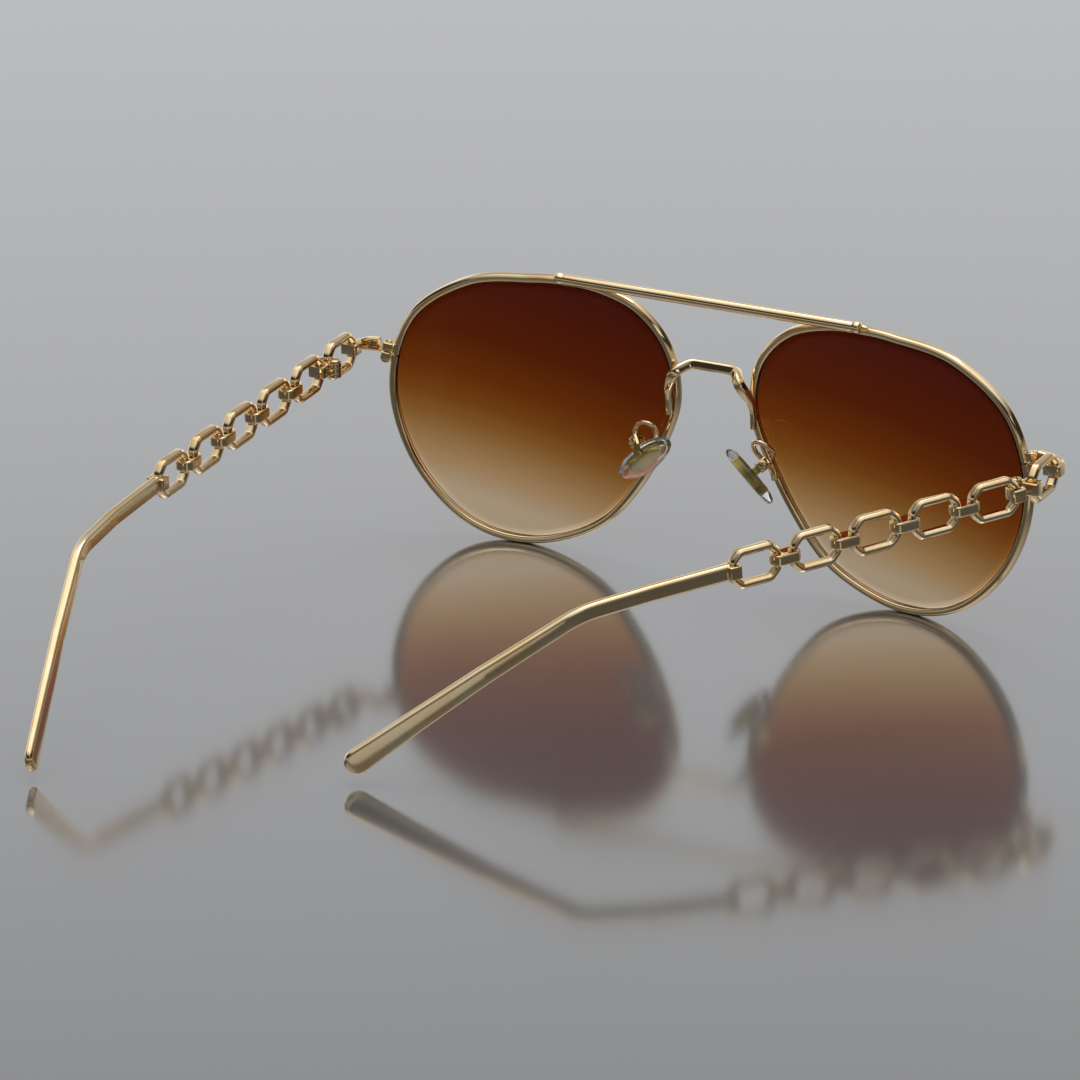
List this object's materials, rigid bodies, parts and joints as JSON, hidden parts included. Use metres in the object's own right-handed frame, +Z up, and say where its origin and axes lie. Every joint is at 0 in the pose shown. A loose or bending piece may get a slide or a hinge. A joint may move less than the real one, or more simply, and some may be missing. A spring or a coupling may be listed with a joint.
{
  "type": "aviator sunglasses",
  "caption": "Metal aviator sunglasses with tinted lenses in grooved rims, a straight brow bar, a bent bridge, rocking nose pads and folding chain-link temples.",
  "frame": {"origin": "centre of the bounding box on the ground plane, in the pose of the picture", "axes": "+Z up, +Y from the lenses to the temple tips, +X to the wearer's left"},
  "size_m": [0.1514, 0.1546, 0.0567],
  "materials": {
    "polished_gold": "polished",
    "screw_gold": "polished",
    "brown_lens": "gloss",
    "clear_silicone": "gloss"
  },
  "bodies": {
    "front": {"brow_bar": "polished_gold", "bridge": "polished_gold", "rim_left": "polished_gold", "lens_left": "brown_lens", "rim_lock_upper_left": "polished_gold", "rim_lock_lower_left": "polished_gold", "rim_screw_left": "screw_gold", "endpiece_left": "polished_gold", "front_link_left": "polished_gold", "front_hinge_left": "polished_gold", "hinge_screw_left": "screw_gold", "pad_arm_left": "polished_gold", "pad_box_left": "polished_gold", "pad_screw_left": "screw_gold", "rim_right": "polished_gold", "lens_right": "brown_lens", "rim_lock_upper_right": "polished_gold", "rim_lock_lower_right": "polished_gold", "rim_screw_right": "screw_gold", "endpiece_right": "polished_gold", "front_link_right": "polished_gold", "front_hinge_right": "polished_gold", "hinge_screw_right": "screw_gold", "pad_arm_right": "polished_gold", "pad_box_right": "polished_gold", "pad_screw_right": "screw_gold"},
    "left_temple": {"temple_hinge_left": "polished_gold", "temple_link_1_left": "polished_gold", "temple_link_2_left": "polished_gold", "temple_link_3_left": "polished_gold", "temple_link_4_left": "polished_gold", "temple_link_5_left": "polished_gold", "link_band_1_left": "polished_gold", "link_band_2_left": "polished_gold", "link_band_3_left": "polished_gold", "link_band_4_left": "polished_gold", "temple_arm_left": "polished_gold"},
    "right_temple": {"temple_hinge_right": "polished_gold", "temple_link_1_right": "polished_gold", "temple_link_2_right": "polished_gold", "temple_link_3_right": "polished_gold", "temple_link_4_right": "polished_gold", "temple_link_5_right": "polished_gold", "link_band_1_right": "polished_gold", "link_band_2_right": "polished_gold", "link_band_3_right": "polished_gold", "link_band_4_right": "polished_gold", "temple_arm_right": "polished_gold"},
    "left_pad": {"nose_pad_left": "clear_silicone", "pad_core_left": "polished_gold"},
    "right_pad": {"nose_pad_right": "clear_silicone", "pad_core_right": "polished_gold"}
  },
  "joints": [
    {"name": "left_temple_fold", "type": "hinge", "parent": "front", "child": "left_temple", "pos_m": [0.07143, -0.05533, 0.03576], "axis": [0, 0, 1], "range_deg": [0, 25]},
    {"name": "right_temple_fold", "type": "hinge", "parent": "front", "child": "right_temple", "pos_m": [-0.07143, -0.05533, 0.03576], "axis": [0, 0, -1], "range_deg": [-31.4, 50.6]},
    {"name": "left_pad_rock", "type": "hinge", "parent": "front", "child": "left_pad", "pos_m": [0.01313, -0.06881, 0.02622], "axis": [0.4439, 0.827, 0.345], "range_deg": [-8, 8]},
    {"name": "right_pad_rock", "type": "hinge", "parent": "front", "child": "right_pad", "pos_m": [-0.01313, -0.06881, 0.02622], "axis": [0.4439, -0.827, -0.345], "range_deg": [-8, 8]}
  ]
}
